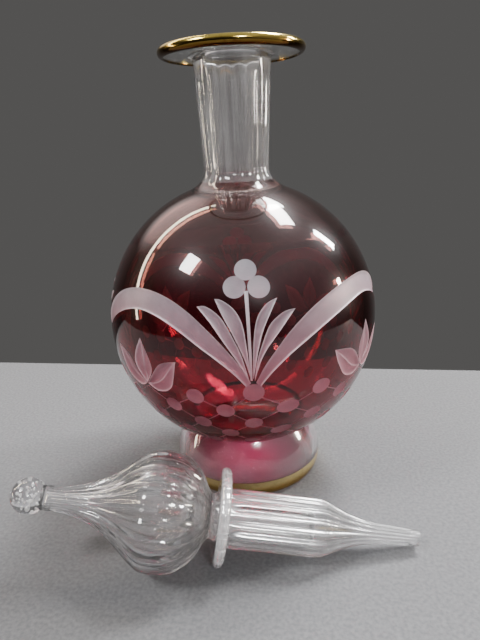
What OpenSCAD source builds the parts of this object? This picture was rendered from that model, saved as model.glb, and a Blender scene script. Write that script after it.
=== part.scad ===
// Cut ruby glass perfume bottle: a cased globe on a hollow foot, with a long clear neck and a
// wide gilded lip. Its fluted stopper lies on the table in front of it.
// The origin is where the bottle's axis meets the table.

/* [Globe] */
// Outside diameter of the globe
globe_d = 95; // [90:0.5:100]
// Height of the globe's centre above the table
globe_z = 61.5; // [60:0.5:64]
// Thickness of the ruby glass layer
ruby_t = 0.9; // [0.5:0.1:1.5]
// Thickness of the clear glass under the ruby layer
clear_t = 2.1; // [1.5:0.1:3]

/* [Neck and lip] */
// Height of the lip's top above the table
lip_z = 150; // [140:1:160]
// Diameter of the lip over its gilding
lip_d = 47.4; // [44:0.2:52]
// Thickness of the lip over its gilding
lip_t = 3.2; // [2.6:0.1:4]
// Diameter of the straight bore from the mouth to the globe
bore_d = 18.8; // [18:0.1:20]
// Diameter of the neck just under the lip
neck_top_d = 24.8; // [23:0.2:28]
// Diameter of the neck just above its flare
neck_low_d = 21.8; // [21.6:0.2:23]
// Diameter of the flare that joins the neck to the globe
neck_flare_d = 26; // [24.5:0.5:29]

/* [Foot] */
// Widest diameter of the foot
foot_d = 55.8; // [53:0.2:60]
// Height at which the foot is widest
foot_belly_z = 5.8; // [4.5:0.1:7]
// Outside diameter of the flat ring that the foot rests on
foot_rest_d = 51.2; // [49:0.2:53]
// Wall thickness of the foot
foot_t = 2.3; // [1.8:0.1:3]
// Height of the gold band's upper edge
band_top_z = 6.4; // [5:0.1:8]

/* [Gilding] */
// Thickness of the gold coats
gold_t = 0.3; // [0.2:0.05:0.4]

/* [Stopper] */
// Diameter of the ball at the stopper's end
ball_d = 10.6; // [9:0.2:12]
// Widest diameter of the hollow bulb
bulb_d = 35.2; // [34:0.2:37]
// Diameter of the stopper's flange
flange_d = 29.2; // [28:0.2:32]
// Thickness of the stopper's flange
flange_t = 3.1; // [2.5:0.1:4]
// Diameter of the straight part of the plug
plug_d = 17.2; // [16:0.1:17.8]
// Height of the ball's centre above the flange's lower face
ball_up = 59; // [57:0.5:62]
// Length from the flange's lower face to the plug's tip
plug_l = 58.9; // [54:0.1:64]
// Thickness of the bulb's wall at its widest
bulb_wall = 2.2; // [1.6:0.1:2.6]
// Thickness of the hollow plug's wall
plug_wall = 2.6; // [2:0.1:3.4]

/* [Where the stopper lies] */
// Place of the flange's lower face along the table, left to right
lie_x = -7.5; // [-20:0.5:10]
// Place of the stopper's axis in front of the bottle's axis
lie_y = -54.7; // [-70:0.1:-52]

/* [Hidden] */
$fn = 128;

globe_r = globe_d / 2;
clear_r = globe_r - ruby_t;
cavity_r = clear_r - clear_t;
bore_r = bore_d / 2;
flare_r = neck_flare_d / 2;
edge_r = lip_t / 2;
edge_at = [lip_d / 2 - edge_r, lip_z - edge_r];
lip_under_z = lip_z - lip_t + gold_t;
mouth_round = 0.8;
foot_r = foot_d / 2;
foot_rest_r = foot_rest_d / 2;
foot_curve = 0.0225;
foot_top_z = 20.6;
band_low_z = 0.5;
stem_r = 3.6;
root_r = 6.5;
tip_r = 2.4;
over = 1;

// Height of a sphere of radius r, centred on the globe, at distance x from the axis
function dome_z(r, x) = globe_z + sqrt(r * r - x * x);

// Points of an arc about c from angle a0 to a1
function arc(c, r, a0, a1, n) =
    [for (i = [0:n]) let (a = a0 + (a1 - a0) * i / n) c + r * [cos(a), sin(a)]];

// Points of a quadratic curve from p0 to p2 that is drawn towards p1
function bend(p0, p1, p2, n) =
    [for (i = [0:n]) let (t = i / n) (1 - t) * (1 - t) * p0 + 2 * t * (1 - t) * p1 + t * t * p2];

// One point of a smooth curve between b and c, whose neighbours are a and d
function between(a, b, c, d, t) =
    0.5 * (2 * b + t * (c - a) + t * t * (2 * a - 5 * b + 4 * c - d)
    + t * t * t * (3 * b - a - 3 * c + d));

// A smooth curve through every point of p, with n steps between neighbours
function smooth(p, n) = let (last = len(p) - 1) concat(
    [for (i = [0:last - 1]) for (k = [0:n - 1])
        between(p[max(i - 1, 0)], p[i], p[i + 1], p[min(i + 2, last)], k / n)],
    [p[last]]);

// Outside radius of the foot at height z: a rolled lower edge, then a wall that leans inwards
function foot_out(z) = z > foot_belly_z
    ? foot_r - foot_curve * pow(z - foot_belly_z, 2)
    : foot_rest_r + (foot_r - foot_rest_r) * sqrt(1 - pow(1 - z / foot_belly_z, 2));

// The foot's outer wall from height z0 to z1, set in by inset
function foot_wall(z0, z1, inset, n) =
    [for (i = [0:n]) let (z = z0 + (z1 - z0) * i / n) [foot_out(z) - inset, z]];

// Outline of the bulb and its stem, from the flange up to the ball
bulb_line = smooth([
    [root_r + 0.6, flange_t], [root_r, 5], [7.8, 6.3], [12.4, 8.9], [15.9, 12.9],
    [17.3, 16.2], [bulb_d / 2, 20], [17.2, 24], [15, 27.5], [12.1, 31], [9.3, 34.4], [7.2, 38],
    [5.4, 42.2], [4.2, 46.6], [stem_r + 0.1, 50.5], [stem_r, ball_up]], 3);

// Outline of the hollow inside it, which tapers into the stem
hollow_line = smooth([
    [0, 9.6], [5.5, 10.2], [10.6, 12.6], [14, 15.9], [bulb_d / 2 - bulb_wall, 20],
    [14.7, 24.2], [12, 27.9], [9, 31.4], [6.3, 35.3], [4.1, 40], [2.6, 45.5], [1.8, 51],
    [1.6, ball_up]], 3);

// Outline of the plug, from the flange down to its flat tip
plug_line = smooth([
    [plug_d / 2, 0], [plug_d / 2, -14], [plug_d / 2 - 0.1, -27], [plug_d / 2 - 0.7, -29.8],
    [6.6, -32.6], [5.2, -36], [4.1, -39.4], [3.3, -44], [2.8, -50], [tip_r, -plug_l]], 3);

// Outline of the hollow inside the plug, closed by the flange above and a round end below
plug_hollow_line = smooth([
    [0, -26.4], [3, -26], [5.2, -24.4], [plug_d / 2 - plug_wall, -21],
    [plug_d / 2 - plug_wall, -10], [plug_d / 2 - plug_wall, 0]], 3);

// Outline of the flange, with a rounded edge
flange_line = arc([(flange_d - flange_t) / 2, flange_t / 2], flange_t / 2, -90, 90, 10);

// How low an outline reaches when the axis leans by tilt from level, with the tip down
function low(line, tilt) = min([for (p = line) p[1] * sin(tilt) - p[0] * cos(tilt)]);

// The tilt at which the bulb and the flange both touch the table
function rest_tilt(a, b, n) = let (m = (a + b) / 2) n == 0 ? m
    : low(bulb_line, m) < low(flange_line, m) ? rest_tilt(m, b, n - 1) : rest_tilt(a, m, n - 1);
lie_tilt = rest_tilt(0, 30, 24);
lie_z = -low(flange_line, lie_tilt);

// Lays an upright stopper, whose flange stands at the origin, on the table
module lay() {
    translate([lie_x, lie_y, lie_z]) rotate([0, lie_tilt - 90, 0]) children();
}

// A ball of radius r round the globe's centre
module ball_of(r) {
    translate([0, 0, globe_z]) sphere(r, $fn = 200);
}

// The hole in the top of the globe that the neck's flare closes
module neck_hole() {
    translate([0, 0, globe_z]) cylinder(r = flare_r, h = globe_r + over);
}

module globe_glass() {
    color("gainsboro", 0.4) difference() {
        ball_of(clear_r);
        ball_of(cavity_r);
        neck_hole();
    }
}

module ruby_casing() {
    color("darkred", 0.7) difference() {
        ball_of(globe_r);
        ball_of(clear_r);
        neck_hole();
    }
}

module neck() {
    low_at = [neck_low_d / 2, dome_z(globe_r, flare_r) + 2.8];
    top_at = [neck_top_d / 2, lip_under_z - 2.2];
    flare_at = [flare_r, dome_z(globe_r, flare_r)];
    collar_at = [neck_top_d / 2 + 1.5, lip_under_z];
    color("gainsboro", 0.5) rotate_extrude() polygon(concat(
        [[bore_r, dome_z(cavity_r, bore_r)], [flare_r, dome_z(cavity_r, flare_r)]],
        bend(flare_at, [low_at[0], flare_at[1] + 0.2], low_at, 6),
        bend(top_at, [top_at[0] + 0.1, lip_under_z - 0.1], collar_at, 5),
        [[bore_r, lip_under_z]]));
}

module lip_flange() {
    color("gainsboro", 0.5) rotate_extrude() polygon(concat(
        [[bore_r, lip_under_z]],
        arc(edge_at, edge_r - gold_t, -90, 90, 12),
        arc([bore_r + mouth_round, lip_z - gold_t - mouth_round], mouth_round, 90, 180, 5)));
}

module lip_gold_rim() {
    color("darkgoldenrod") rotate_extrude() polygon(concat(
        arc(edge_at, edge_r, -90, 90, 12),
        arc(edge_at, edge_r - gold_t, 90, -90, 12)));
}

module foot() {
    color("gainsboro", 0.5) difference() {
        rotate_extrude() polygon(concat(
            foot_wall(0, band_low_z, 0, 2),
            foot_wall(band_low_z, band_top_z, gold_t, 8),
            foot_wall(band_top_z, foot_top_z, 0, 8),
            foot_wall(foot_top_z, 0, foot_t, 16)));
        ball_of(globe_r);
    }
}

module foot_gold_band() {
    color("darkgoldenrod") rotate_extrude() polygon(concat(
        foot_wall(band_low_z, band_top_z, 0, 8),
        foot_wall(band_top_z, band_low_z, gold_t, 8)));
}

module stopper_ball() {
    color("lavender", 0.7) lay() translate([0, 0, ball_up]) sphere(d = ball_d);
}

module stopper_bulb() {
    color("gainsboro", 0.5) lay() difference() {
        rotate_extrude() polygon(concat([[0, flange_t]], bulb_line, [[0, ball_up]]));
        rotate_extrude() polygon(concat(hollow_line, [[0, ball_up]]));
        translate([0, 0, ball_up]) sphere(d = ball_d);
    }
}

module stopper_flange() {
    color("gainsboro", 0.5) lay() rotate_extrude()
        polygon(concat([[0, 0]], flange_line, [[0, flange_t]]));
}

module stopper_plug() {
    color("gainsboro", 0.5) lay() rotate_extrude()
        polygon(concat(plug_hollow_line, plug_line, [[0, -plug_l]]));
}

globe_glass();
ruby_casing();
neck();
lip_flange();
lip_gold_rim();
foot();
foot_gold_band();
stopper_ball();
stopper_bulb();
stopper_flange();
stopper_plug();
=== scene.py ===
"""Looks of a cut ruby glass perfume bottle and its fluted stopper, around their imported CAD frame.

Sizes are in millimetres and angles in degrees. Only the swell functions, which give the radius
of a turned shape, take their angle in radians. Meshes, lights and the camera are turned into
metres where they are made, and so are the heights and depths in the materials.
"""
import json
import math
import random

import bpy
import numpy as np
from mathutils import Matrix, Quaternion, Vector
from mathutils.geometry import delaunay_2d_cdt


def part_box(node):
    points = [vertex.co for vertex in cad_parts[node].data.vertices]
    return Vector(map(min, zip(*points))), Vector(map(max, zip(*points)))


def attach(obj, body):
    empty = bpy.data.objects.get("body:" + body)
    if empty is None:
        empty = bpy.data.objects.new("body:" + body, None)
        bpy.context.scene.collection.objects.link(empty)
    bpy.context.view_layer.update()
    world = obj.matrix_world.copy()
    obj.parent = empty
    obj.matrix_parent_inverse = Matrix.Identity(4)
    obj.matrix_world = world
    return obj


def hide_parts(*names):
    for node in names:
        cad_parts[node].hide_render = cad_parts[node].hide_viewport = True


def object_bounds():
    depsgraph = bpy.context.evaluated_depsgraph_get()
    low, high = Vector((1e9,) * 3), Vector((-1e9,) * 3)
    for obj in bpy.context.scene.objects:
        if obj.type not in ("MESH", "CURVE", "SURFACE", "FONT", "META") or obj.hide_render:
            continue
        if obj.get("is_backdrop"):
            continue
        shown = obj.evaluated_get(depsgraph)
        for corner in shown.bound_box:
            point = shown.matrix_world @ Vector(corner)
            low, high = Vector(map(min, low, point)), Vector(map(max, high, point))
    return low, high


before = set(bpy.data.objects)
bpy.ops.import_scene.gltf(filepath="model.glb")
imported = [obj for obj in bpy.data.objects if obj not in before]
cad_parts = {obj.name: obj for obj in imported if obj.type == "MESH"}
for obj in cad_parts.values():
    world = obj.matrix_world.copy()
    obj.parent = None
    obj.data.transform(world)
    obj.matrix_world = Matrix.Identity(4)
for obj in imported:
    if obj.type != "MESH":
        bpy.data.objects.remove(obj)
cad_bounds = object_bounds()
MM = 0.001


# ------------ sizes read from the frame

def span(node):
    """Lowest and highest corner of a CAD node, in millimetres."""
    low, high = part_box(node)
    return np.array(low) / MM, np.array(high) / MM


def wide(node):
    """Outside radius of a CAD node that stands round the bottle's axis."""
    low, high = span(node)
    return round((high[0] - low[0]) / 2, 2)


globe_r = wide("ruby_casing")
globe_z = span("globe_glass")[0][2] + wide("globe_glass")
wall_t = 3.0
cavity_r = globe_r - wall_t
bore_r = 9.4
flare_r = 13.0
neck_foot_r = 16.8
neck_low_r = 10.9
neck_top_r = 12.4
collar_r = 13.9
gold_t = 0.3
gold_gap = 0.02
lip_z = span("lip_gold_rim")[1][2]
lip_under_z = span("neck")[1][2]
lip_edge_r = 1.6
lip_edge_at = (wide("lip_gold_rim") - lip_edge_r, lip_z - lip_edge_r)
mouth_round = 0.8
foot_r = wide("foot_gold_band")
foot_rest_r = 25.6
foot_belly_z = 5.8
foot_curve = 0.0225
foot_t = 2.3
(_, _, band_low_z), (_, _, band_top_z) = span("foot_gold_band")
(ball_low_x, _, _), (ball_high_x, _, _) = span("stopper_ball")
ball_r = (ball_high_x - ball_low_x) / 2
ball_up = 59.0
flange_t = 3.1
flange_r = 14.6
root_r = 7.1
stem_r = 3.6
stem_hollow_r = 1.6
plug_r = 8.6
plug_hollow_r = 6.0
plug_l = 58.9
bulb_flutes = 22
plug_flutes = 16
turns_round = 180


# ------------ lines and outlines

def arc(centre, radius, start, end, steps):
    """Points of an arc from the angle start to the angle end."""
    angles = np.radians(np.linspace(start, end, steps + 1))
    return [(centre[0] + radius * math.cos(a), centre[1] + radius * math.sin(a)) for a in angles]


def bend(p0, p1, p2, steps):
    """Points of a curve from p0 to p2 that is drawn towards p1."""
    a, b, c = (np.array(p, float) for p in (p0, p1, p2))
    spread = np.linspace(0, 1, steps + 1)
    return [tuple((1 - t) ** 2 * a + 2 * t * (1 - t) * b + t * t * c) for t in spread]


def smooth(points, steps):
    """Points of a smooth curve through every given point, with steps between neighbours."""
    p = np.array([points[0], *points, points[-1]], float)
    line = []
    for i in range(1, len(p) - 2):
        for t in np.arange(steps) / steps:
            a, b, c, d = p[i - 1:i + 3]
            line.append(0.5 * (2 * b + t * (c - a) + t * t * (2 * a - 5 * b + 4 * c - d)
                               + t ** 3 * (3 * b - a - 3 * c + d)))
    line.append(p[-1])
    return [tuple(q) for q in line]


def even(line, step):
    """The same line with its points about one step apart."""
    p = np.array(line, float)
    run = np.concatenate([[0], np.cumsum(np.linalg.norm(np.diff(p, axis=0), axis=1))])
    at = np.linspace(0, run[-1], max(2, round(run[-1] / step) + 1))
    return np.stack([np.interp(at, run, p[:, 0]), np.interp(at, run, p[:, 1])], axis=1)


def strip(line, width_0, width_1):
    """Outline of a stroke along a line, whose width goes from width_0 to width_1."""
    p = np.array(line, float)
    along = np.gradient(p, axis=0)
    along /= np.linalg.norm(along, axis=1)[:, None]
    half = np.linspace(width_0, width_1, len(p))[:, None] / 2
    across = np.stack([-along[:, 1], along[:, 0]], axis=1) * half
    return np.concatenate([p + across, (p - across)[::-1]])


def nearest(points, line):
    """For each point: distance to the line, distance along it to that place, and the side."""
    a, step = line[:-1], np.diff(line, axis=0)
    length = np.linalg.norm(step, axis=1)
    start = np.concatenate([[0], np.cumsum(length)[:-1]])
    offset = points[:, None, :] - a[None]
    t = np.clip((offset * step).sum(2) / length ** 2, 0, 1)
    gap = np.linalg.norm(offset - t[..., None] * step, axis=2)
    best = gap.argmin(1)
    rows = np.arange(len(points))
    side = np.sign(step[best, 0] * offset[rows, best, 1] - step[best, 1] * offset[rows, best, 0])
    return gap[rows, best], start[best] + t[rows, best] * length[best], side


def inside(points, outline):
    """True for each point that lies inside a closed outline."""
    x, y = points[:, 0, None], points[:, 1, None]
    a, b = outline, np.roll(outline, -1, axis=0)
    rise = np.where(b[:, 1] == a[:, 1], 1, b[:, 1] - a[:, 1])
    crosses = (a[:, 1] > y) != (b[:, 1] > y)
    return (crosses & (x < a[:, 0] + (y - a[:, 1]) * (b[:, 0] - a[:, 0]) / rise)).sum(1) % 2 == 1


# ------------ materials

def node_adder(tree):
    """A helper that adds a node to a tree. Its inputs are values or other nodes' sockets."""
    def add(kind, inputs=None, **settings):
        node = tree.nodes.new("ShaderNode" + kind)
        for key, value in settings.items():
            setattr(node, key, value)
        for key, value in (inputs or {}).items():
            if isinstance(value, bpy.types.NodeSocket):
                tree.links.new(value, node.inputs[key])
            else:
                node.inputs[key].default_value = value
        return node
    return add


def new_material(name):
    """An empty material: a helper that adds nodes to it, and one that ends it with a shader."""
    material = bpy.data.materials.new(name)
    material.use_nodes = True
    material.node_tree.nodes.clear()
    add = node_adder(material.node_tree)

    def shaded(inputs, kind="BsdfPrincipled"):
        add("OutputMaterial", {"Surface": add(kind, inputs).outputs[0]})
        return material
    return add, shaded


def noise(add, scale, stretch=(1, 1, 1), detail=3.0, rough=0.5, place=None):
    """Noise in the object's own space, in repeats per metre, or at the places given."""
    if place is None:
        place = add("TexCoord").outputs["Object"]
    squeezed = add("Mapping", {"Vector": place, "Scale": stretch}).outputs["Vector"]
    return add("TexNoise", {"Vector": squeezed, "Scale": scale, "Detail": detail,
                            "Roughness": rough}).outputs["Fac"]


def height(add):
    """Height in the object's own space, in metres."""
    return add("SeparateXYZ", {"Vector": add("TexCoord").outputs["Object"]}).outputs["Z"]


def uneven_height(add, scale, amount):
    """The same height with noise of up to an amount added to it, which is in millimetres."""
    drift = add("Math", {0: noise(add, scale, detail=2), 1: amount * MM}, operation="MULTIPLY")
    return add("Math", {0: height(add), 1: drift.outputs[0]}, operation="ADD").outputs[0]


def remap(add, value, from_low, from_high, to_low=0, to_high=1, **settings):
    """Value taken from one range to another, and kept within it."""
    return add("MapRange", {"Value": value, "From Min": from_low, "From Max": from_high,
                            "To Min": to_low, "To Max": to_high}, **settings).outputs["Result"]


def blended(add, factor, colour_a, colour_b, way="MIX"):
    """Colour a where the factor is 0, colour b where it is 1. Colour a may be a socket."""
    if not isinstance(colour_a, bpy.types.NodeSocket):
        colour_a = (*colour_a, 1)
    return add("Mix", {0: factor, 6: colour_a, 7: (*colour_b, 1)}, data_type="RGBA",
               blend_type=way).outputs[2]


def bumped(add, height, depth, strength=1.0):
    """A normal bent by a height of the given depth in millimetres."""
    return add("Bump", {"Height": height, "Distance": depth * MM,
                        "Strength": strength}).outputs["Normal"]


def clear_glass(name, tint, wave, polish, clarity=0.985, lustre=0.0, spread=0.15, gleam=1.5):
    """Blown clear glass: slightly wavy, a little hazy and with a polish that varies.

    Lustre, spread and gleam are the weight, roughness and IOR of a coat. The coat adds a soft
    gleam round each reflection.
    """
    add, shaded = new_material(name)
    return shaded({
        "Base Color": (*tint, 1), "Transmission Weight": clarity, "IOR": 1.52,
        "Coat Weight": lustre, "Coat Roughness": spread, "Coat IOR": gleam,
        "Roughness": remap(add, noise(add, 600, detail=4), 0.35, 0.75, 0.0, polish),
        "Normal": bumped(add, noise(add, 70, detail=1.5), wave)})


def ruby_glass():
    """The ruby layer: deeper and redder below; paler and browner over the shoulder, partly a
    thinner layer and partly a painted grey sheen.
    """
    add, shaded = new_material("ruby_glass")
    level = uneven_height(add, 28, 20)
    low, middle, high = (z * MM for z in (44, 76, 114))
    below = blended(add, remap(add, level, low, middle), RUBY_LOW, RUBY_DEEP)
    return shaded({
        # partly painted sheen: the browner shoulder tone also stands in for the grey reflection
        # over the upper glass
        "Base Color": blended(add, remap(add, level, middle, high), below, RUBY_SHOULDER_THIN_AND_SHEEN),
        "Transmission Weight": 1.0, "IOR": 1.5,
        "Specular IOR Level": 0.15, "Coat Weight": 0.11, "Coat Roughness": 0.3,
        "Roughness": remap(add, noise(add, 900, detail=4), 0.35, 0.75, 0.0, 0.03),
        "Normal": bumped(add, noise(add, 45, detail=1.5), 0.07)})


def ground_glass(name, low_painted_glow_tone, high_tone, rough, through):
    """Glass ground by a wheel: matt, and pinker lower down, where a painted glow stands in for red
    light from the ruby glass round it.

    Seen from inside the globe it gets painted shade, nearly as dark as the ruby glass round it.
    """
    add, shaded = new_material(name)
    low, high = 49 * MM, 88 * MM
    grain = noise(add, 1.6, (0.35, 3.2, 1), 4, 0.7, add("UVMap", uv_map="grain").outputs["UV"])
    both = add("Math", {0: grain, 1: noise(add, 160, detail=2)}, operation="ADD").outputs[0]
    # painted glow: the pink low tone stands in for red light from the ruby glass round the cut
    tone = blended(add, remap(add, height(add), low, high), low_painted_glow_tone, high_tone)
    shade = blended(add, remap(add, both, 1.3, 0.75), tone, (0.72, 0.7, 0.71), "MULTIPLY")
    # painted shade: from inside the globe the ground glass is darkened to nearly the ruby's colour,
    # so the far cuts hardly show
    shaded_from_inside = add("NewGeometry").outputs["Backfacing"]
    return shaded({
        "Base Color": blended(add, shaded_from_inside, shade, INNER_PAINTED_SHADE),
        "Transmission Weight": through, "IOR": 1.5,
        "Roughness": remap(add, grain, 0.3, 0.7, rough - 0.08, rough + 0.08),
        "Normal": bumped(add, grain, 0.03, 0.8)})


def gilding(name, light, dark_wear_and_reflection, low, high, wave):
    """Burnished gold over glass, rubbed and a little wavy, with a painted dark reflection that
    darkens it towards its lower edge.
    """
    add, shaded = new_material(name)
    brush = noise(add, 260, stretch=(1, 1, 9), detail=5, rough=0.6)
    rub = noise(add, 420, detail=4, rough=0.65)
    # painted reflection: the gold darkens towards its lower edge as if it reflected dark
    # surroundings; the rubbed spots are wear
    painted_dark_reflection = remap(add, height(add), low * MM, high * MM, 1, 0)
    worn = remap(add, rub, 0.56, 0.68, 0, 0.5)
    shade = add("Math", {0: painted_dark_reflection, 1: worn}, operation="ADD", use_clamp=True).outputs[0]
    return shaded({
        "Base Color": blended(add, shade, light, dark_wear_and_reflection),
        "Metallic": 1.0, "Roughness": remap(add, brush, 0.3, 0.7, 0.08, 0.22),
        "Normal": bumped(add, noise(add, 170, detail=2), wave)})


def ribbed_glass():
    """The neck's glass, with faint upright streaks from its mould."""
    add, shaded = new_material("ribbed_glass")
    upright = noise(add, 420, stretch=(1, 1, 0.03), detail=3, rough=0.6)
    cloud = noise(add, 500, stretch=(1, 1, 0.5), detail=5, rough=0.7)
    return shaded({
        "Base Color": blended(add, remap(add, upright, 0.35, 0.65), (0.6, 0.58, 0.58), (1, 1, 1)),
        "Transmission Weight": 0.93, "IOR": 1.5,
        "Roughness": remap(add, cloud, 0.4, 0.7, 0.0, 0.14),
        "Normal": bumped(add, upright, 0.06)})


def ruby_glow_painted_foot_glass():
    """The inside of the foot, with the ruby glow of the globe above it painted into its colour."""
    add, shaded = new_material("foot_inside_painted_glow")
    # painted glow: a crimson band part way up, and pale pink elsewhere, stand in for the red light
    # that the ruby globe throws into the foot
    glow = remap(add, uneven_height(add, 110, 12), 11 * MM, 19 * MM)
    return shaded({
        "Base Color": blended(add, glow, (0.95, 0.86, 0.89), (1.0, 0.2, 0.36)),
        "Transmission Weight": 0.94, "IOR": 1.5, "Roughness": 0.03,
        "Normal": bumped(add, noise(add, 90, detail=1.5), 0.3)})


def fused(name, tint):
    """Where two pieces of hot glass are joined: nothing of the join is seen but its tint."""
    shaded = new_material(name)[1]
    return shaded({"Color": (*tint, 1)}, "BsdfTransparent")


INNER_PAINTED_SHADE = (0.2, 0.006, 0.015)
RUBY_LOW = (0.23, 0.0003, 0.012)
RUBY_DEEP = (0.17, 0.001, 0.004)
RUBY_SHOULDER_THIN_AND_SHEEN = (0.5, 0.23, 0.2)
CLEAR = clear_glass("clear_glass", (0.97, 0.98, 0.98), wave=0.03, polish=0.02, clarity=0.965)
RUBY_CAP = clear_glass("ruby_cap", (0.9, 0.12, 0.22), wave=0.15, polish=0.02, clarity=1.0)
INNER = clear_glass("inner_glass", (0.99, 0.99, 0.99), wave=0.05, polish=0.01, clarity=1.0)
STOPPER = clear_glass("stopper_glass", (0.98, 0.98, 0.985), wave=0.04, polish=0.03,
                      lustre=0.4, spread=0.25)
PLUG = clear_glass("plug_glass", (1, 1, 1), wave=0.04, polish=0.04, clarity=0.965,
                   lustre=1.0, spread=0.22, gleam=2.5)
BUBBLED = clear_glass("bubbled_glass", (0.97, 0.97, 0.985), wave=0.02, polish=0.03)
UNEVEN = clear_glass("uneven_glass", (1, 0.98, 0.99), wave=0.35, polish=0.14, clarity=0.7,
                     lustre=1.0, spread=0.14, gleam=2.3)
RUBY = ruby_glass()
GROUND = ground_glass("ground_glass", (0.57, 0.21, 0.27), (0.58, 0.56, 0.63), rough=0.46,
                      through=0.68)
# a paler ground glass: veins and the fan's stem are pale lines, and on the rims of garlands and
# leaves it is a painted highlight where the bevel catches light
GROUND_PALE_AND_RIM_HIGHLIGHT = ground_glass("ground_pale_and_rim_highlight", (0.66, 0.35, 0.4), (0.7, 0.68, 0.72), rough=0.38,
                           through=0.4)
# painted reflection: the lip's gold is made much darker than the foot's, standing in for the dark
# room it reflects
LIP_GOLD = gilding("lip_gold", (0.46, 0.35, 0.08), (0.14, 0.06, 0.012), low=147.3, high=149.4,
                   wave=0.05)
FOOT_GOLD = gilding("foot_gold", (1.0, 0.8, 0.36), (0.45, 0.27, 0.06), low=2.6, high=4.8,
                    wave=0.35)
RIBBED = ribbed_glass()
# painted glints: the bubbles' white, hazy glass stands in for the bright glints that light makes at
# their edges
SEED_PAINTED_GLINT = clear_glass("glass_seeds_painted_glint", (1, 1, 1), wave=0.02, polish=0.3, clarity=0.3)
FOOT_OUTSIDE = clear_glass("foot_outside", (0.98, 0.98, 0.98), wave=0.25, polish=0.03,
                           lustre=0.6, spread=0.14, gleam=1.9)
FOOT_GLOW_PAINTED_INSIDE = ruby_glow_painted_foot_glass()
JOIN = fused("fused_join", (1, 1, 1))
RUBY_JOIN = fused("fused_ruby", (0.66, 0.1, 0.16))


# ------------ meshes

def placed(name, data):
    """A new object in the scene."""
    thing = bpy.data.objects.new(name, data)
    bpy.context.scene.collection.objects.link(thing)
    return thing


def make_piece(name, points, faces, paints, materials, body, slot, replaced, crisp=None):
    """A mesh piece from points in millimetres, which rides on a body and stands for CAD nodes.

    A piece of the stopper is made upright and laid down here. Edges sharper than the angle
    crisp stay crisp under smooth shading.
    """
    mesh = bpy.data.meshes.new(name)
    mesh.from_pydata([tuple(p) for p in np.array(points, float) * MM], [], faces)
    for material in materials:
        mesh.materials.append(material)
    mesh.polygons.foreach_set("material_index", paints)
    mesh.polygons.foreach_set("use_smooth", [True] * len(faces))
    mesh.update()
    if body == "stopper":
        mesh.transform(lying())
    piece = placed(name, mesh)
    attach(piece, body)
    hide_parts(*replaced)
    if crisp:
        mesh.set_sharp_from_angle(angle=math.radians(crisp))
    return mesh


def ring_faces(low, high):
    """The faces between two rings of points. A ring may be one point, repeated."""
    faces = []
    for k, after in enumerate([*range(1, len(low)), 0]):
        face = list(dict.fromkeys([low[k], low[after], high[after], high[k]]))
        if len(face) > 2:
            faces.append(face)
    return faces


def turned(sections, turns, swell=None):
    """Points, faces and paints of a shape turned about the Z axis.

    sections are (paint, line) pairs, whose lines of (radius, height) follow on from each other,
    with the glass on their left. A paint is a place in the piece's list of materials. swell
    gives the radius at (radius, height, angle).
    """
    line, strip_paint = [], []
    for paint, part in sections:
        for spot in part:
            if not line or math.dist(line[-1], spot) > 1e-6:
                line.append(spot)
                strip_paint.append(paint)
    closed = math.dist(line[0], line[-1]) < 1e-6
    if closed:
        line.pop()
    points, rings = [], []
    for radius, z in line:
        start = len(points)
        if radius < 1e-6:
            rings.append([start] * turns)
            points.append((0, 0, z))
            continue
        rings.append(list(range(start, start + turns)))
        for k in range(turns):
            angle = 2 * math.pi * k / turns
            reach = swell(radius, z, angle) if swell else radius
            points.append((reach * math.cos(angle), reach * math.sin(angle), z))
    if closed:
        rings.append(rings[0])
    faces, paints = [], []
    for low, high, paint in zip(rings, rings[1:], strip_paint[1:]):
        between = ring_faces(low, high)
        faces += between
        paints += [paint] * len(between)
    return points, faces, paints


def ease(value, start, end):
    """0 up to start, 1 from end on, and smooth between."""
    t = np.clip((value - start) / (end - start), 0, 1)
    return t * t * (3 - 2 * t)


# ------------ the globe's engraving

cut_rim = 0.35
stroke_deep, stroke_half = 0.16, 0.25
node_at = 2.7
sector = 90.0
half_sheet = math.radians(sector / 2) * globe_r
band_low, band_high = -52.5, 38.0
row_pitch = 1.035
around = 256
point_gap, rim_from_seam, grid_from_seam, seam_gap = 0.55, 0.3, 0.5, 0.25

# the paints of the globe, in the order of its materials
OUTSIDE, CUT, CUT_PALE_AND_RIM_HIGHLIGHT, CAVITY, FOOT_RING, NECK_RING, UNDERSIDE = range(7)


def sheet(points):
    """Angles round and up the globe, as places on its unrolled surface."""
    return np.radians(np.array(points, float)) * globe_r


class Cut:
    """One wheel cut: its outline on the unrolled surface, its section and its grain."""

    def __init__(self, outline, spine, deep, half, centre_line=False, veins=(), pale=False):
        self.outline = np.array(outline, float)
        self.closed = np.concatenate([self.outline, self.outline[:1]])
        self.spine = np.array(spine, float)
        self.deep = deep
        self.half = half
        self.lines = [self.spine] if centre_line else []
        self.veins = [np.array(v, float) for v in veins]
        self.vein_outlines = [strip(v, 0.5, 0.3) for v in self.veins]
        self.pale = pale

    def near(self, points):
        """Which points lie inside the outline."""
        low, high = self.outline.min(0), self.outline.max(0)
        found = ((points >= low) & (points <= high)).all(1)
        found[found] = inside(points[found], self.outline)
        return found

    def depth(self, points):
        """How deep the cut is at points inside it."""
        gap = nearest(points, self.closed)[0]
        depth = self.deep * (1 - (1 - np.minimum(gap / self.half, 1)) ** 2)
        for vein in self.veins:
            depth -= stroke_deep * np.clip(1 - nearest(points, vein)[0] / stroke_half, 0, 1)
        return np.maximum(depth, 0)


def half_way(side_a, side_b):
    """The line half way between two sides."""
    count = min(len(side_a), len(side_b))
    a, b = (s[np.linspace(0, len(s) - 1, count).round().astype(int)] for s in (side_a, side_b))
    return (a + b) / 2


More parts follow.
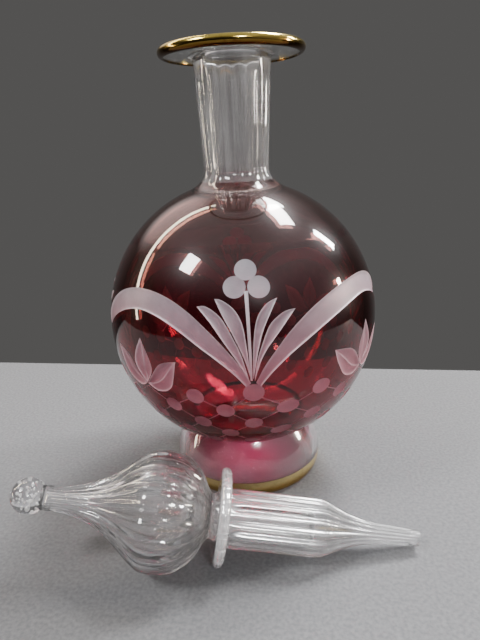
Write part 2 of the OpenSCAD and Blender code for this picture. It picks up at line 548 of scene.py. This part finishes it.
def leaf(side_a, side_b, deep, half, vein=True):
    """A pointed leaf between two curved sides that share their ends."""
    a, b = (even(smooth(sheet(side), 8), 0.7) for side in (side_a, side_b))
    middle = half_way(a, b)
    return Cut(np.concatenate([a, b[-2:0:-1]]), middle, deep, half,
               veins=[middle[1:-2]] if vein else [])


def disc(azimuth, latitude, radius):
    """A round cut, made by the side of a small wheel."""
    stretch = radius / math.cos(math.radians(latitude))
    centre = sheet([(azimuth, latitude)])[0]
    angles = np.linspace(0, 2 * math.pi, 30, endpoint=False)
    ring = centre + np.stack([stretch * np.cos(angles), radius * np.sin(angles)], axis=1)
    spine = [centre - (stretch, 0), centre + (stretch, 0)]
    return Cut(ring, spine, deep=0.4, half=radius)


def stroke(start, end, width_0, width_1, pale=False):
    """A thin straight cut."""
    line = even(sheet([start, end]), 0.8)
    return Cut(strip(line, width_0, width_1), line, stroke_deep, stroke_half, centre_line=True,
               pale=pale)


def garland(shift):
    """The broad band that swings up from one node and down to the next, shifted round."""
    upper = [(0.9, -8.6), (4.1, -2.4), (7.4, 2.2), (12.4, 8), (17.6, 12.9), (23, 17), (30, 20.6),
             (37.5, 22.7), (45, 23.3)]
    lower = [(2.6, -10.3), (6, -5.9), (10, -1.9), (14.6, 1.9), (19.7, 5.6), (25.2, 9.3),
             (31.4, 12.5), (38, 14.7), (45, 15.6)]
    top, bottom = (even(smooth(sheet(half + [(sector - a, l) for a, l in half[-2::-1]]), 8), 0.8)
                   + (shift, 0) for half in (upper, lower))
    outline = np.concatenate([top, bottom[::-1]])
    return Cut(outline, half_way(top, bottom), deep=0.4, half=cut_rim)


def fan():
    """Four half leaves between two garlands, cut by hand and so not quite alike."""
    sides = [
        ([(-1.5, -7.5), (-5.2, -0.4), (-9, 5.6), (-14.4, 13.5), (-19.7, 19.2)],
         [(-1.5, -7.5), (-3.4, 0.5), (-5.6, 6.4), (-10.4, 15.2), (-16, 19.3), (-19.7, 19.2)]),
        ([(-0.9, -7), (-2.9, 0.6), (-6.3, 8.9), (-10, 16), (-13.1, 22)],
         [(-0.9, -7), (-2, 5.8), (-3.2, 13.4), (-6, 18.5), (-10.4, 21.6), (-13.1, 22)]),
        ([(0, -7.2), (0.1, 1), (0.8, 9.5), (2.1, 14.8), (4, 17.9), (6.7, 20.2), (10.1, 21.4)],
         [(0, -7.2), (1.5, 1.1), (2.3, 4.6), (3.8, 9.8), (6.2, 14.8), (10.1, 21.4)]),
        ([(0.4, -8), (1.2, -2), (2.6, 3.4), (5.9, 11.4), (9.2, 14.8), (12.7, 16.6), (16.3, 17)],
         [(0.4, -8), (2.6, -0.9), (5, 3.8), (7.6, 7.1), (10.9, 10.9), (16.3, 17)])]
    return [leaf(left, right, deep=0.5, half=1.2, vein=False) for left, right in sides]


def sprig(azimuth):
    """Three broad leaves that stand on the net, half way between two nodes."""
    sides = [([(0, -13.8), (-4.2, -8), (-4.3, -3), (0, 5.1)],
              [(0, -13.8), (4.2, -8), (4.3, -3), (0, 5.1)])]
    for flip in (-1, 1):
        sides.append([[(flip * a, l) for a, l in side] for side in (
            [(0.3, -14), (4.6, -8.6), (9.5, -3.4), (16.6, -1.4)],
            [(0.3, -14), (5.8, -16.2), (13, -12.6), (16.6, -1.4)])])
    return [leaf(*([(azimuth + a, l) for a, l in side] for side in both), deep=0.6, half=1.8)
            for both in sides]


def net():
    """Rows of round cuts below the garlands, joined by thin strokes into diamonds."""
    rows = [(-15.2, 0), (-21.6, 1), (-29.6, 0), (-37.4, 1), (-47.3, 0)]
    step = sector / 4
    cuts = []
    for row, (latitude, odd) in enumerate(rows):
        for k in range(-2, 3):
            azimuth = (k + odd / 2) * step
            middle_top = row == 0 and k == 0
            here = (azimuth, -12.9 if middle_top else latitude)
            if row > 0 or k % 2:
                cuts.append(disc(*here, 2.85))
            if middle_top:
                cuts.append(disc(*here, 3.2))
            if row + 1 < len(rows):
                below = rows[row + 1][0]
                cuts += [stroke(here, (azimuth + way * step / 2, below), 0.32, 0.32)
                         for way in (-1, 1)]
    return cuts


def engraving():
    """Every cut that reaches into one sector, which repeats round the globe."""
    cuts = net() + [garland(0), garland(-2 * half_sheet)]
    cuts += sprig(sector / 2) + sprig(-sector / 2) + fan()
    cuts += [stroke((-0.7, -7.6), (-1.2, 24.5), 0.6, 1.2, pale=True)]
    cuts += [disc(-1.0, 32.0, 3.2), disc(-5.6, 26.0, 3.25), disc(3.7, 25.7, 3.25)]
    return cuts


def clipped(line, closed):
    """The parts of a line that lie within the sector, cut off where they cross its edges."""
    p = np.concatenate([line, line[:1]]) if closed else line
    parts, part = [], []
    for a, b in zip(p, p[1:]):
        low, high = 0.0, 1.0
        for sign in (-1, 1):
            side_a, side_b = sign * a[0] - half_sheet, sign * b[0] - half_sheet
            if side_a > 0 and side_b > 0:
                low, high = 1.0, 0.0
            elif side_a > 0:
                low = max(low, side_a / (side_a - side_b))
            elif side_b > 0:
                high = min(high, side_a / (side_a - side_b))
        if high - low > 1e-9 and np.abs(b - a).sum() > 1e-9:
            start, end = a + (b - a) * low, a + (b - a) * high
            if part and np.allclose(part[-1], start):
                part.append(end)
            else:
                part = [start, end]
                parts.append(part)
    return [np.array(q) for q in parts]


def sector_points(cuts):
    """Points and edges of the sector for the triangulation."""
    points, edges = [], []

    def lay(line):
        start = len(points)
        points.extend([(float(x), float(y)) for x, y in line])
        edges.extend([(start + i, start + i + 1) for i in range(len(line) - 1)])

    lines, rim = [], []
    for cut in cuts:
        lines += clipped(cut.outline, True)
        for line in cut.lines + cut.veins:
            lines += clipped(line, False)
        for outline in cut.vein_outlines:
            lines += clipped(outline, True)
        if cut.half > stroke_half:
            inner = inset(cut, cut_rim)
            rim.extend(inner[np.abs(inner[:, 0]) < half_sheet - rim_from_seam])
    for line in lines:
        lay(line)
    flat = np.concatenate(lines)
    y_low, y_high = sheet([(0, band_low), (0, band_high)])[:, 1]
    columns, rows = around // 4, round((y_high - y_low) / row_pitch)
    crossings = [round(float(y), 4) for x, y in flat if abs(abs(x) - half_sheet) < 1e-6]
    seam = [round(y, 4) for y in np.linspace(y_low, y_high, rows + 1)
            if all(abs(y - c) > seam_gap for c in crossings)]
    seam = sorted(set(seam + crossings))
    for x in (-half_sheet, half_sheet):
        lay([(x, y) for y in seam])
    for y in (y_low, y_high):
        lay([(x, y) for x in np.linspace(-half_sheet, half_sheet, columns + 1)])
    # every other row is half a step further on
    grid = np.array([(-half_sheet + (i + (0.75 if j % 2 else 0.25)) * 2 * half_sheet / columns,
                      y_low + (y_high - y_low) * j / rows)
                     for j in range(1, rows) for i in range(columns)])
    grid = grid[np.abs(grid[:, 0]) < half_sheet - grid_from_seam]
    clear = np.ones(len(grid), bool)
    others = np.concatenate([flat, np.array(rim)])
    for k in range(0, len(grid), 500):
        gap = np.linalg.norm(grid[k:k + 500, None] - others[None], axis=2).min(1)
        clear[k:k + 500] = gap > point_gap
    return points + [tuple(p) for p in rim] + [tuple(p) for p in grid[clear]], edges


def inset(cut, distance):
    """Points a little inside a cut's outline."""
    p = cut.outline
    along = np.roll(p, -1, axis=0) - np.roll(p, 1, axis=0)
    along /= np.linalg.norm(along, axis=1)[:, None]
    normal = np.stack([-along[:, 1], along[:, 0]], axis=1)
    found = []
    for sign in (-1, 1):
        moved = p + sign * normal * distance
        moved = moved[cut.near(moved)]
        if len(moved):
            found.append(moved[nearest(moved, cut.closed)[0] > distance * 0.93])
    return np.concatenate(found)


def cut_band():
    """One sector of the cut band: places, depths, triangles, paints and grain directions."""
    cuts = engraving()
    points, edges = sector_points(cuts)
    result = delaunay_2d_cdt([Vector(p) for p in points], edges, [], 0, 1e-4)
    at = np.array([tuple(v) for v in result[0]], float)
    on_seam = np.abs(np.abs(at[:, 0]) - half_sheet) < 1e-3
    at[on_seam, 0] = np.sign(at[on_seam, 0]) * half_sheet
    triangles = np.array([f for f in result[2] if len(f) == 3])
    middle = at[triangles].mean(1)
    depth = np.zeros(len(at))
    paint = np.full(len(triangles), OUTSIDE)
    grain = at[triangles]
    pale = rim_highlight_faces(cuts, middle)
    for cut in cuts:
        within = cut.near(at)
        depth[within] = np.maximum(depth[within], cut.depth(at[within]))
        own = np.nonzero(cut.near(middle))[0]
        if not len(own):
            continue
        paint[own] = CUT
        gap, run, side = nearest(at[triangles[own]].reshape(-1, 2), cut.spine)
        grain[own] = np.stack([run, gap * side], axis=1).reshape(-1, 3, 2)
        if cut.pale:
            pale[own] = True
        for outline in cut.vein_outlines:
            pale[own[inside(middle[own], outline)]] = True
    # rims get the paler glass as a painted highlight; veins and pale strokes get it as pale lines
    paint[(paint == CUT) & pale] = CUT_PALE_AND_RIM_HIGHLIGHT
    return at, depth, triangles, paint, grain


def rim_highlight_faces(cuts, middle):
    """Which cut faces lie on the ground rim of a garland or a leaf. These get a painted highlight.
    """
    found = np.zeros(len(middle), bool)
    within = [cut.near(middle) for cut in cuts]
    alone = np.sum(within, axis=0) == 1
    smallest_disc = 2.5
    for cut, mine in zip(cuts, within):
        own = np.nonzero(mine & alone)[0]
        if len(own) and not cut.lines and cut.half < smallest_disc:
            found[own[nearest(middle[own], cut.closed)[0] < cut_rim * 0.8]] = True
    return found


def hand_shift(azimuth, latitude):
    """How far the cutter strayed round the globe from an even spacing, in degrees.

    On the net the stray sets in sooner than on the garland. It fades out behind.
    """
    most = 8
    beyond = (azimuth - node_at + 180) % 360 - 180
    on_net = 1 - np.exp(-np.maximum(beyond - 4, 0) / 18)
    on_garland = ease(beyond, 12, 45)
    share = ease(latitude, -14, -5)
    stray = most * (on_net * (1 - share) + on_garland * share)
    return stray * (1 - ease(beyond, 50, 150))


def globe_surface(lift, azimuth, latitude):
    """A point on the globe's outside, lifted along its radius."""
    # azimuth 0 faces the camera, which looks along +Y
    a, l = np.radians(azimuth + hand_shift(azimuth, latitude)), np.radians(latitude)
    radius = globe_r + lift
    return np.stack([radius * np.cos(l) * np.sin(a), -radius * np.cos(l) * np.cos(a),
                     globe_z + radius * np.sin(l)], axis=-1)


def globe():
    """The globe: ruby outside with the engraving cut into it, clear inside, one closed shell."""
    at, depth, triangles, paint, grain = cut_band()
    points, faces, paints, uvs = [], [], [], []
    angles = np.degrees(at / globe_r)
    for turn in range(4):
        faces.extend((triangles + len(points)).tolist())
        points.extend(globe_surface(-depth, angles[:, 0] + node_at + sector * turn, angles[:, 1]))
        paints.extend(paint.tolist())
        uvs.extend(grain.reshape(-1, 2).tolist())

    def ring(radius, latitude):
        turn = np.linspace(0, 360, around, endpoint=False) + node_at - sector / 2
        start = len(points)
        if latitude <= -89.99:
            points.append(np.array([0, 0, globe_z - radius]))
            return [start] * around
        points.extend(globe_surface(radius - globe_r, turn, np.full(around, float(latitude))))
        return list(range(start, start + around))

    def join(low, high, colour):
        for face in ring_faces(low, high):
            faces.append(face)
            paints.append(colour)
            uvs.extend([(0, 0)] * len(face))

    def skin(radius, latitudes, colour, flip=False):
        rings = [ring(radius, l) for l in latitudes]
        for low, high in zip(rings, rings[1:]):
            join(*((high, low) if flip else (low, high)), colour)
        return rings

    def latitude_at(radius, sphere=globe_r):
        return math.degrees(math.acos(radius / sphere))

    hole, inner_hole = latitude_at(neck_foot_r), latitude_at(flare_r, cavity_r)
    joint_high, joint_low = (-latitude_at(foot_joint(t)[0]) for t in (0, foot_t))
    outer = skin(globe_r, np.linspace(band_high, hole, 26), OUTSIDE)
    skin(globe_r, np.linspace(joint_high, band_low, 6), OUTSIDE)
    skin(globe_r, [joint_low, joint_high], FOOT_RING)
    skin(globe_r, np.linspace(-90, joint_low, 14), UNDERSIDE)
    inner = skin(cavity_r, np.linspace(-90, inner_hole, 84), CAVITY, flip=True)
    join(outer[-1], inner[-1], NECK_RING)

    # points that lie in the same place become one
    places = np.array(points)
    _, first, same = np.unique(np.round(places, 5), axis=0, return_index=True,
                               return_inverse=True)
    faces = [[int(same.flat[i]) for i in f] for f in faces]
    mesh = make_piece("globe_cut_glass", places[first], faces, paints,
                      [RUBY, GROUND, GROUND_PALE_AND_RIM_HIGHLIGHT, INNER, RUBY_JOIN, JOIN, RUBY_CAP],
                      "bottle", "ruby_glass", ["globe_glass", "ruby_casing"])
    layer = mesh.uv_layers.new(name="grain")
    layer.data.foreach_set("uv", np.array(uvs, np.float32).ravel())
    set_round_normals(mesh)


def set_round_normals(mesh):
    """Gives the uncut glass the normals of a true sphere, and the cuts their own."""
    def read(things, key, size=1, kind=float):
        values = np.zeros(len(things) * size, kind)
        things.foreach_get(key, values)
        return values.reshape(-1, size) if size > 1 else values

    vertex = read(mesh.loops, "vertex_index", kind=int)
    place = read(mesh.vertices, "co", 3)
    corners = read(mesh.polygons, "loop_total", kind=int)
    flat = np.repeat(read(mesh.polygons, "normal", 3), corners, axis=0)
    area = np.repeat(read(mesh.polygons, "area"), corners)
    paint = np.repeat(read(mesh.polygons, "material_index", kind=int), corners)
    normals = place[vertex] - (0, 0, globe_z * MM)
    normals /= np.linalg.norm(normals, axis=1)[:, None]
    normals[paint == CAVITY] *= -1
    normals[paint == NECK_RING] = flat[paint == NECK_RING]
    ground = (paint == CUT) | (paint == CUT_PALE_AND_RIM_HIGHLIGHT)
    total = np.zeros((len(place), 3))
    np.add.at(total, vertex[ground], (flat * area[:, None])[ground])
    own = total[vertex[ground]]
    normals[ground] = own / np.linalg.norm(own, axis=1)[:, None]
    mesh.normals_split_custom_set([tuple(n) for n in normals])


# ------------ the rest of the bottle

def foot_out(z):
    """Outside radius of the foot at a height: a rolled edge, then a wall that leans inwards."""
    if z > foot_belly_z:
        return foot_r - foot_curve * (z - foot_belly_z) ** 2
    return foot_rest_r + (foot_r - foot_rest_r) * math.sqrt(1 - (1 - z / foot_belly_z) ** 2)


def foot_joint(inset_by):
    """Where the foot's wall, set in by a distance, meets the globe: its radius and height."""
    low, high = band_top_z, 30.0
    for _ in range(40):
        z = (low + high) / 2
        radius = foot_out(z) - inset_by
        if radius ** 2 + (globe_z - z) ** 2 > globe_r ** 2:
            low = z
        else:
            high = z
    return foot_out(low) - inset_by, low


def foot_wall(z0, z1, inset_by, steps):
    """Points of the foot's wall between two heights."""
    return [(foot_out(z) - inset_by, z) for z in np.linspace(z0, z1, steps + 1)]


def wobble(seed, amount):
    """A slight unevenness of hand work that only ever takes glass away."""
    pick = random.Random(seed)
    waves = [(k, pick.uniform(0, 2 * math.pi), pick.uniform(0.4, 1)) for k in (2, 3, 5)]
    whole = sum(size for _, _, size in waves)

    def shift(angle):
        return amount * (sum(s * math.cos(k * angle + a) for k, a, s in waves) / whole - 1) / 2
    return shift


def neck():
    """The neck, with faint upright ribs from its mould."""
    ribs, rib_deep = 18, 0.45
    low_z = globe_z + math.sqrt(globe_r ** 2 - neck_foot_r ** 2)
    inner_z = globe_z + math.sqrt(cavity_r ** 2 - flare_r ** 2)
    slope = neck_foot_r / (low_z - globe_z)
    turn_z = low_z + slope * (neck_foot_r - neck_low_r)
    flare_top = inner_z + 4.2
    straight_low, straight_high = low_z + 7, lip_under_z - 3
    sweep = bend((neck_foot_r, low_z), (neck_low_r, turn_z), (neck_low_r, straight_low), 12)

    def swell(radius, height, angle):
        if radius < bore_r + 0.5:
            return radius
        shown = ease(height, low_z + 0.5, low_z + 6) * (1 - ease(height, 138, straight_high))
        return radius - rib_deep * shown * (0.5 - 0.5 * math.cos(ribs * angle)) ** 1.5

    straight = [(neck_low_r + (neck_top_r - neck_low_r) * t,
                 straight_low + (straight_high - straight_low) * t)
                for t in np.linspace(0, 1, 22)]
    sections = [
        (1, bend((bore_r, flare_top), (bore_r, inner_z + 0.6), (flare_r, inner_z), 8)),
        (0, [(flare_r, inner_z), (neck_foot_r, low_z)]),
        (2, sweep[:7]),
        (1, sweep[6:]),
        (1, straight),
        (1, bend((neck_top_r, straight_high), (neck_top_r + 0.1, lip_under_z - 0.1),
                 (collar_r, lip_under_z), 6)),
        (0, [(collar_r, lip_under_z), (bore_r, lip_under_z)]),
        (1, [(bore_r, z) for z in np.linspace(lip_under_z, flare_top, 24)]),
    ]
    make_piece("neck_glass", *turned(sections, turns_round, swell), [JOIN, RIBBED, RUBY],
               "bottle", "clear_glass", ["neck"], crisp=50)


def gild(name, outer, inner, gold, node, crisp, swell=None):
    """A closed coat of gold between an outer line and an inner one that runs back."""
    shape = turned([(0, [*outer, *inner, outer[0]])], turns_round, swell)
    make_piece(name, *shape, [gold], "bottle", "gilding", [node], crisp)


def lip():
    """The wide flat lip, and the gold bead along its edge."""
    edge_r = lip_edge_r - gold_t
    top = lip_z - gold_t
    sag = wobble(seed=3, amount=0.25)

    def swell(radius, height, angle):
        return radius + sag(angle) * ease(radius, 15, 21)

    sections = [
        (0, [(bore_r, lip_under_z), (collar_r, lip_under_z)]),
        (1, [(r, lip_under_z) for r in np.linspace(collar_r, lip_edge_at[0], 8)]),
        (0, arc(lip_edge_at, edge_r, -90, 90, 14)),
        (1, [(r, top) for r in np.linspace(lip_edge_at[0], bore_r + mouth_round, 10)]),
        (1, arc((bore_r + mouth_round, top - mouth_round), mouth_round, 90, 180, 6)),
        (1, [(bore_r, top - mouth_round), (bore_r, lip_under_z)]),
    ]
    make_piece("lip_glass", *turned(sections, turns_round, swell), [JOIN, CLEAR], "bottle",
               "clear_glass", ["lip_flange"], crisp=50)
    gild("lip_gilding", arc(lip_edge_at, lip_edge_r, -96, 96, 20),
         arc(lip_edge_at, edge_r + gold_gap, 96, -96, 20), LIP_GOLD, "lip_gold_rim", 50, swell)


def foot():
    """The hollow foot, and the gold band round its rolled edge."""
    out, high = foot_joint(0)
    into, low = foot_joint(foot_t)
    joint = [(r, globe_z - math.sqrt(globe_r ** 2 - r * r)) for r in np.linspace(out, into, 4)]
    sections = [
        (1, foot_wall(0, band_low_z, 0, 2)),
        (0, foot_wall(band_low_z, band_top_z, gold_t, 12)),
        (1, foot_wall(band_top_z, high, 0, 18)),
        (0, joint),
        (2, foot_wall(low, 0, foot_t, 26)),
        (1, [(foot_out(0) - foot_t, 0), (foot_out(0), 0)]),
    ]
    make_piece("foot_glass", *turned(sections, turns_round), [JOIN, FOOT_OUTSIDE, FOOT_GLOW_PAINTED_INSIDE],
               "bottle", "clear_glass", ["foot"], crisp=40)
    gild("foot_gilding", foot_wall(band_low_z, band_top_z, 0, 16),
         foot_wall(band_top_z, band_low_z, gold_t - gold_gap, 16), FOOT_GOLD, "foot_gold_band", 40)


# ------------ the stopper

def lying():
    """Takes the upright stopper, whose flange stands at the origin, to where it lies."""
    ball = sum(span("stopper_ball")) / 2
    flange = sum(span("stopper_flange")) / 2
    axis = Vector(ball - flange).normalized()
    across = Vector((0, 1, 0))
    turn = Matrix((across.cross(axis), across, axis)).transposed().to_4x4()
    return Matrix.Translation((Vector(flange) - axis * flange_t / 2) * MM) @ turn


def flutes(outline, count, deep, sharp, start, end, low, high):
    """Ribs along the outside, from start to end, that fade out towards low and high.

    A higher sharp makes them narrower.
    """
    radii, heights = zip(*outline)
    thin = 0.2

    def swell(radius, height, angle):
        # the hollow inside stays round
        if radius <= np.interp(height, heights, radii) - thin:
            return radius
        shown = ease(height, low, start) * (1 - ease(height, end, high))
        rib = (0.5 + 0.5 * math.cos(count * angle)) ** sharp
        return radius - min(deep, 0.12 * radius) * shown * (1 - rib)
    return swell


def on_ball(radius):
    """The place at a radius on the ball's lower side."""
    return radius, ball_up - math.sqrt(ball_r ** 2 - radius ** 2)


def bulb():
    """The hollow fluted bulb and its stem, from the flange up to the ball."""
    outline = smooth([
        (root_r, flange_t), (6.5, 5), (7.8, 6.3), (12.4, 8.9), (15.9, 12.9), (17.3, 16.2),
        (17.6, 20), (17.2, 24), (15, 27.5), (12.1, 31), (9.3, 34.4), (7.2, 38), (5.4, 42.2),
        (4.2, 46.6), (3.7, 50.5), on_ball(stem_r)], 5)
    hollow = smooth([
        on_ball(stem_hollow_r), (1.8, 51), (2.6, 45.5), (4.1, 40), (6.3, 35.3), (9, 31.4),
        (12, 27.9), (14.7, 24.2), (15.4, 20), (14, 15.9), (10.6, 12.6), (5.5, 10.2), (0, 9.6)], 5)
    sections = [
        (0, [(0, flange_t), (3.5, flange_t), (root_r, flange_t)]),
        (1, outline),
        (0, [on_ball(r) for r in np.linspace(stem_r, stem_hollow_r, 4)]),
        (1, hollow),
    ]
    rib = flutes(outline, bulb_flutes, deep=0.75, sharp=2, start=7, end=50, low=flange_t, high=54)
    make_piece("stopper_bulb_glass", *turned(sections, bulb_flutes * 12, rib), [JOIN, STOPPER],
               "stopper", "stopper_glass", ["stopper_bulb"], crisp=60)


def flange():
    """The uneven flange that rests on the lip."""
    edge = flange_t / 2
    uneven = wobble(seed=7, amount=0.5)

    def swell(radius, height, angle):
        rim = ease(radius, 9.5, 13)
        return radius + rim * (uneven(angle) - 0.1 * (1 - math.cos(bulb_flutes * angle)))

    sections = [
        (1, [(0, 0), (3, 0), (plug_hollow_r, 0)]),
        (0, [(plug_hollow_r, 0), (plug_r, 0)]),
        (1, [(r, 0) for r in np.linspace(plug_r, flange_r - edge, 6)]),
        (1, arc((flange_r - edge, edge), edge, -90, 90, 14)),
        (1, [(r, flange_t) for r in np.linspace(flange_r - edge, root_r, 7)]),
        (0, [(root_r, flange_t), (3.5, flange_t), (0, flange_t)]),
    ]
    shape = with_bubbles(turned(sections, bulb_flutes * 12, swell), count=40, seed=11,
                         sizes=(0.18, 0.45), spot=ring_spot)
    make_piece("stopper_flange_glass", *shape, [JOIN, UNEVEN, SEED_PAINTED_GLINT], "stopper",
               "bubbled_glass", ["stopper_flange"], crisp=50)


def plug():
    """The hollow fluted plug and its long tip."""
    outline = smooth([
        (2.4, -plug_l), (2.8, -50), (3.3, -44), (4.1, -39.4), (5.2, -36), (6.6, -32.6),
        (7.9, -29.8), (8.5, -27), (plug_r, -14), (plug_r, 0)], 6)
    hollow = smooth([(plug_hollow_r, 0), (6, -10), (6, -21), (5.2, -24.4), (3, -26),
                     (0, -26.4)], 5)
    sections = [
        (1, [(0, -plug_l), (1.2, -plug_l), (2.4, -plug_l)]),
        (1, outline),
        (0, [(plug_r, 0), (plug_hollow_r, 0)]),
        (1, hollow),
    ]
    rib = flutes(outline, plug_flutes, deep=1.0, sharp=0.8, start=-55, end=-2.5, low=-58, high=0)
    make_piece("stopper_plug_glass", *turned(sections, plug_flutes * 14, rib), [JOIN, PLUG],
               "stopper", "stopper_glass", ["stopper_plug"], crisp=60)


def ring_spot(pick):
    """A place for a bubble in the flange's rim."""
    angle, radius = pick.uniform(0, 2 * math.pi), pick.uniform(9.4, 13)
    return radius * math.cos(angle), radius * math.sin(angle), pick.uniform(0.8, flange_t - 0.8)


def ball_spot(pick):
    """A place for a bubble in the ball."""
    while True:
        spot = [pick.uniform(-1, 1) for _ in range(3)]
        if 0.2 < math.hypot(*spot) < 1:
            return spot[0] * 4.1, spot[1] * 4.1, ball_up + spot[2] * 4.1


def with_bubbles(shape, count, seed, sizes, spot):
    """Adds round bubbles that don't touch, with their surfaces facing the air inside them."""
    points, faces, paints = shape
    seed_paint = 2
    pick = random.Random(seed)
    made = []
    while len(made) < count:
        centre, radius = spot(pick), pick.uniform(*sizes)
        if all(math.dist(centre, c) > radius + r + 0.1 for c, r in made):
            made.append((centre, radius))
    for centre, radius in made:
        line = arc((0, 0), radius, -90, 90, 8)
        line[0], line[-1] = (0, -radius), (0, radius)
        shell, shell_faces, bubble_paints = turned([(seed_paint, line)], 14)
        start = len(points)
        points += [tuple(np.array(p) + centre) for p in shell]
        faces += [[start + i for i in reversed(f)] for f in shell_faces]
        paints += bubble_paints
    return points, faces, paints


def ball():
    """The ball at the stopper's end, full of small bubbles."""
    angles = [-90 + math.degrees(math.asin(r / ball_r)) for r in (stem_hollow_r, stem_r)]
    start = arc((0, ball_up), ball_r, -90, angles[0], 3)
    end = arc((0, ball_up), ball_r, angles[1], 90, 36)
    start[0], end[-1] = (0, ball_up - ball_r), (0, ball_up + ball_r)
    joint = [on_ball(r) for r in (stem_hollow_r, 2.6, stem_r)]
    shape = with_bubbles(turned([(1, start), (0, joint), (1, end)], 72), count=70, seed=5,
                         sizes=(0.16, 0.36), spot=ball_spot)
    make_piece("stopper_ball_glass", *shape, [JOIN, BUBBLED, SEED_PAINTED_GLINT], "stopper",
               "bubbled_glass", ["stopper_ball"])


# ------------ stage, lights and camera

def floor():
    """A plain pale table top with a soft edge."""
    wide_x, front_y, back_y, thick = 900, -620, 91, 20
    turn = -8.6
    add, shaded = new_material("pale_floor")
    grain = noise(add, 900, detail=4)
    tone = blended(add, remap(add, grain, 0.35, 0.65), (0.075, 0.075, 0.079),
                   (0.103, 0.103, 0.107))
    xs, ys, zs = (-wide_x / 2, wide_x / 2), (front_y, back_y), (-thick, 0)
    corners = [(x * MM, y * MM, z * MM) for x in xs for y in ys for z in zs]
    mesh = bpy.data.meshes.new("table_top")
    mesh.from_pydata(corners, [], [(0, 1, 3, 2), (4, 6, 7, 5), (0, 4, 5, 1), (2, 3, 7, 6),
                                   (1, 5, 7, 3), (0, 2, 6, 4)])
    mesh.materials.append(shaded({"Base Color": tone, "Roughness": 0.75,
                                  "Specular IOR Level": 0.25,
                                  "Normal": bumped(add, grain, 0.05)}))
    table = placed("table_top", mesh)
    soften = table.modifiers.new("soft_edge", "BEVEL")
    soften.width, soften.segments = 3 * MM, 4
    table.rotation_euler.z = math.radians(turn)
    table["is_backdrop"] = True


def towards(azimuth, elevation):
    """The direction from the bottle to a place round it. Azimuth 0 is the camera's side."""
    a, e = math.radians(azimuth), math.radians(elevation)
    return Vector((math.sin(a) * math.cos(e), -math.cos(a) * math.cos(e), math.sin(e)))


def area_lamp(name, shape, size, power, tint):
    """A soft lamp of a width and a depth. It starts at the origin and shines down."""
    data = bpy.data.lights.new(name, "AREA")
    data.shape = shape
    data.size, data.size_y = size[0] * MM, size[1] * MM
    data.energy = power
    data.color = tint
    return placed(name, data)


def softbox(name, azimuth, elevation, size, power, tint=(1, 1, 1), lean=0):
    """A rectangular light that faces the bottle, turned by a lean about the line to it."""
    aim, distance = Vector((0, 0, 70 * MM)), 900 * MM
    back = towards(azimuth, elevation)
    lamp = area_lamp(name, "RECTANGLE", size, power, tint)
    lamp.location = aim + back * distance
    turn = back.to_track_quat("Z", "Y") @ Quaternion((0, 0, 1), math.radians(lean))
    lamp.rotation_euler = turn.to_euler()


def lights():
    """Soft studio lights, and a dark dome with a few soft glows."""
    softbox("left_window", -62, 46, (180, 210), 9)
    softbox("right_back", 128, 60, (330, 170), 18)
    softbox("right_tall", 113, 33, (80, 230), 10.5)
    softbox("back_high", 150, 57, (190, 190), 10.5)
    softbox("near_camera", 15, 31, (110, 110), 6)
    softbox("right_low", 92, 9, (70, 230), 7.5, (1, 0.9, 0.78))
    softbox("left_strip", -113.5, 31.6, (55, 1500), 7.5, (1, 0.86, 0.66), 31)
    # the red light that the ruby globe throws on the table inside the hollow foot
    glow = area_lamp("ruby_glow", "DISK", (20, 20), 0.0065, (1, 0.05, 0.32))
    glow.location.z = 9 * MM
    world = bpy.data.worlds.new("dome")
    world.use_nodes = True
    add = node_adder(world.node_tree)
    place = add("TexCoord").outputs["Generated"]
    total = (0.018, 0.017, 0.017)
    # each glow: azimuth, elevation, the angles where it starts and where it is full, colour
    glows = ((180, -5, 62, 22, (0.075, 0.074, 0.072)),
             (0, 90, 75, 5, (0.7, 0.7, 0.72)),
             (62, 26, 50, 10, (0.35, 0.35, 0.37)),
             (-141, 36, 24, 4, (1.5, 1.3, 1.25)))
    for azimuth, elevation, edge, core, colour in glows:
        facing = add("VectorMath", {0: place, 1: towards(azimuth, elevation)},
                     operation="DOT_PRODUCT").outputs["Value"]
        rise = remap(add, facing, math.cos(math.radians(edge)), math.cos(math.radians(core)),
                     interpolation_type="SMOOTHERSTEP")
        part = add("VectorMath", {0: colour, "Scale": rise}, operation="SCALE").outputs["Vector"]
        total = add("VectorMath", {0: total, 1: part}, operation="ADD").outputs["Vector"]
    world.node_tree.links.new(total, world.node_tree.nodes["Background"].inputs["Color"])
    bpy.context.scene.world = world


def camera():
    """The camera in front of the bottle, a little above its middle and tilted down."""
    place = Vector((0, -187.13, 120.97))
    yaw, pitch_down, roll = -0.37, 18.55, math.radians(-2.65)
    back, right = towards(-yaw, pitch_down), towards(90 - yaw, 0)
    up = back.cross(right)
    rolled_right = right * math.cos(roll) + up * math.sin(roll)
    rolled_up = up * math.cos(roll) - right * math.sin(roll)
    data = bpy.data.cameras.new("camera")
    data.sensor_width = 36
    data.lens = 29.81
    data.clip_start = 0.01
    view = placed("camera", data)
    turn = Matrix((rolled_right, rolled_up, back)).transposed().to_4x4()
    view.matrix_world = Matrix.Translation(place * MM) @ turn
    bpy.context.scene.camera = view


camera()
globe()
neck()
lip()
foot()
bulb()
flange()
plug()
ball()
floor()
lights()

for low_high in (cad_bounds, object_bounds()):
    json.dumps([[round(float(x), 5) for x in corner] for corner in low_high]) + "\n"
